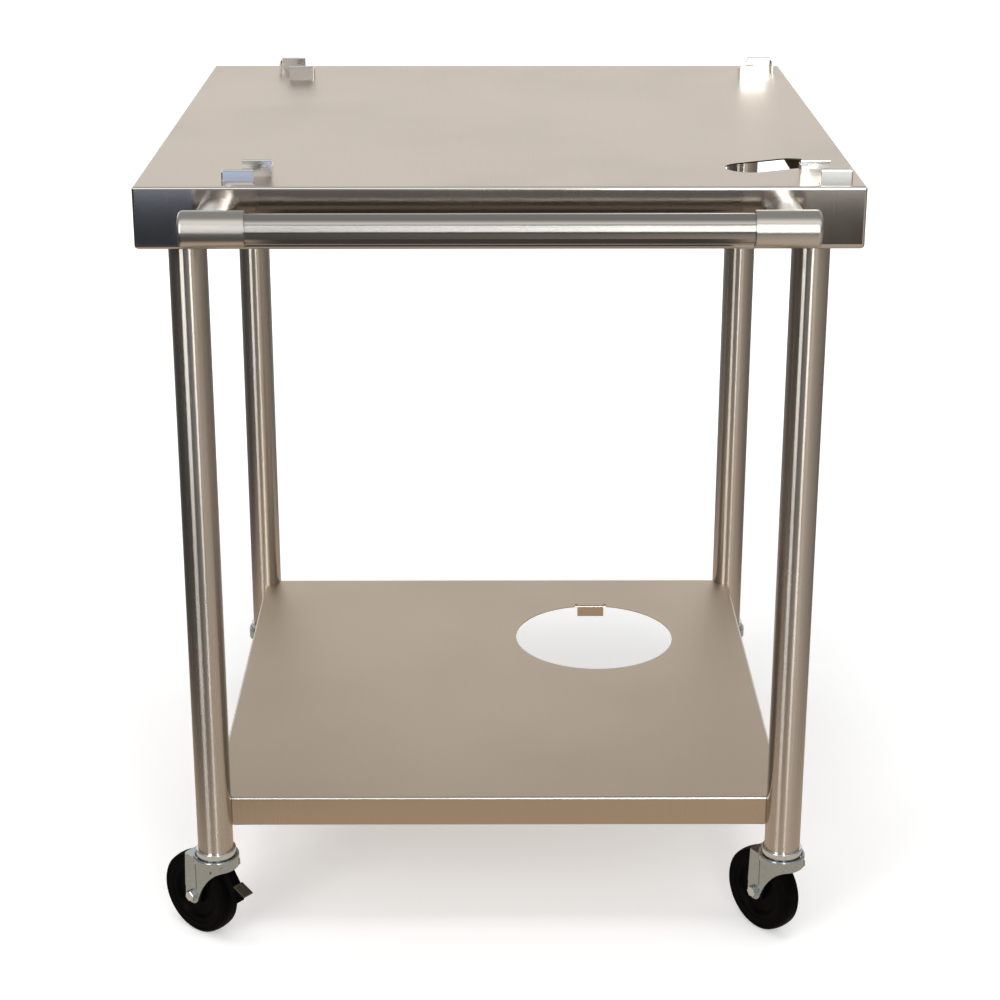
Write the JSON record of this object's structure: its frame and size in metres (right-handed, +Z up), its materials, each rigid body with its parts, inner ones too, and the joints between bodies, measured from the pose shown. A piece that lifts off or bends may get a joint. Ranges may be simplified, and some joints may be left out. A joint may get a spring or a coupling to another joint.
{
  "type": "pizza oven cart",
  "caption": "Stainless cart for a countertop pizza oven: square deck with foot clips, push handle, tube legs, shelf with a gas-bottle hole, swivel casters.",
  "frame": {"origin": "on the floor under the middle of the deck, where the mount floor_stand is", "axes": "+Z up, +X to the right and -Y to the front, where the push handle is"},
  "size_m": [0.7796, 0.8768, 0.9327],
  "materials": {
    "deck_steel": "brushed stainless sheet, grain from front to back",
    "leg_steel": "satin stainless tube, brushed lengthwise",
    "shelf_steel": "brushed stainless sheet, in shade",
    "handle_steel": "fine brushed stainless, nearly polished",
    "clip_steel": "bright bent sheet",
    "inner_steel": "mill finish with weld marks",
    "zinc": "bright zinc plate",
    "tyre_rubber": "hard black rubber with light scuffs",
    "black_plastic": "moulded black plastic"
  },
  "bodies": {
    "root": {"deck": "deck_steel", "left_channel": "inner_steel", "right_channel": "inner_steel", "front_left_socket": "inner_steel", "front_right_socket": "inner_steel", "rear_left_socket": "inner_steel", "rear_right_socket": "inner_steel", "front_left_leg": "leg_steel", "front_right_leg": "leg_steel", "rear_left_leg": "leg_steel", "rear_right_leg": "leg_steel", "shelf": "shelf_steel", "flange_screws": "zinc", "handle_tube": "handle_steel", "left_handle_bracket": "handle_steel", "right_handle_bracket": "handle_steel", "front_left_outer_clip": "clip_steel", "front_left_inner_clip": "clip_steel", "front_right_outer_clip": "clip_steel", "front_right_inner_clip": "clip_steel", "rear_left_outer_clip": "clip_steel", "rear_left_inner_clip": "clip_steel", "rear_right_outer_clip": "clip_steel", "rear_right_inner_clip": "clip_steel", "front_left_head": "zinc", "front_right_head": "zinc", "rear_left_head": "zinc", "rear_right_head": "zinc"},
    "front_left_caster": {"front_left_balls": "zinc", "front_left_fork": "zinc", "front_left_axle": "zinc", "front_left_bush": "zinc", "front_left_brake_pin": "zinc"},
    "front_left_wheel": {"front_left_hub": "black_plastic", "front_left_tyre": "tyre_rubber"},
    "front_left_brake": {"front_left_brake_lever": "black_plastic", "front_left_brake_pad": "zinc"},
    "front_right_caster": {"front_right_balls": "zinc", "front_right_fork": "zinc", "front_right_axle": "zinc", "front_right_bush": "zinc"},
    "front_right_wheel": {"front_right_hub": "black_plastic", "front_right_tyre": "tyre_rubber"},
    "rear_left_caster": {"rear_left_balls": "zinc", "rear_left_fork": "zinc", "rear_left_axle": "zinc", "rear_left_bush": "zinc"},
    "rear_left_wheel": {"rear_left_hub": "black_plastic", "rear_left_tyre": "tyre_rubber"},
    "rear_right_caster": {"rear_right_balls": "zinc", "rear_right_fork": "zinc", "rear_right_axle": "zinc", "rear_right_bush": "zinc", "rear_right_brake_pin": "zinc"},
    "rear_right_wheel": {"rear_right_hub": "black_plastic", "rear_right_tyre": "tyre_rubber"},
    "rear_right_brake": {"rear_right_brake_lever": "black_plastic", "rear_right_brake_pad": "zinc"}
  },
  "joints": [
    {"name": "front_left_swivel", "type": "hinge", "parent": "root", "child": "front_left_caster", "pos_m": [-0.332, -0.332, 0.1082], "axis": [0, 0, 1], "continuous": true},
    {"name": "front_left_roll", "type": "hinge", "parent": "front_left_caster", "child": "front_left_wheel", "pos_m": [-0.35376, -0.31438, 0.0508], "axis": [-0.6293, -0.7771, 0], "continuous": true},
    {"name": "front_left_brake_press", "type": "hinge", "parent": "front_left_caster", "child": "front_left_brake", "pos_m": [-0.32034, -0.34144, 0.098], "axis": [0.6293, 0.7771, 0], "range_deg": [0, 8]},
    {"name": "front_right_swivel", "type": "hinge", "parent": "root", "child": "front_right_caster", "pos_m": [0.332, -0.332, 0.1082], "axis": [0, 0, 1], "continuous": true},
    {"name": "front_right_roll", "type": "hinge", "parent": "front_right_caster", "child": "front_right_wheel", "pos_m": [0.31554, -0.30935, 0.0508], "axis": [-0.809, -0.5878, 0], "continuous": true},
    {"name": "rear_left_swivel", "type": "hinge", "parent": "root", "child": "rear_left_caster", "pos_m": [-0.332, 0.332, 0.1082], "axis": [0, 0, 1], "continuous": true},
    {"name": "rear_left_roll", "type": "hinge", "parent": "rear_left_caster", "child": "rear_left_wheel", "pos_m": [-0.33102, 0.35998, 0.0508], "axis": [-0.9994, 0.0349, 0], "continuous": true},
    {"name": "rear_right_swivel", "type": "hinge", "parent": "root", "child": "rear_right_caster", "pos_m": [0.332, 0.332, 0.1082], "axis": [0, 0, 1], "continuous": true},
    {"name": "rear_right_roll", "type": "hinge", "parent": "rear_right_caster", "child": "rear_right_wheel", "pos_m": [0.32666, 0.35949, 0.0508], "axis": [-0.9816, -0.1908, 0], "continuous": true},
    {"name": "rear_right_brake_press", "type": "hinge", "parent": "rear_right_caster", "child": "rear_right_brake", "pos_m": [0.33486, 0.31728, 0.098], "axis": [0.9816, 0.1908, 0], "range_deg": [0, 8]}
  ]
}
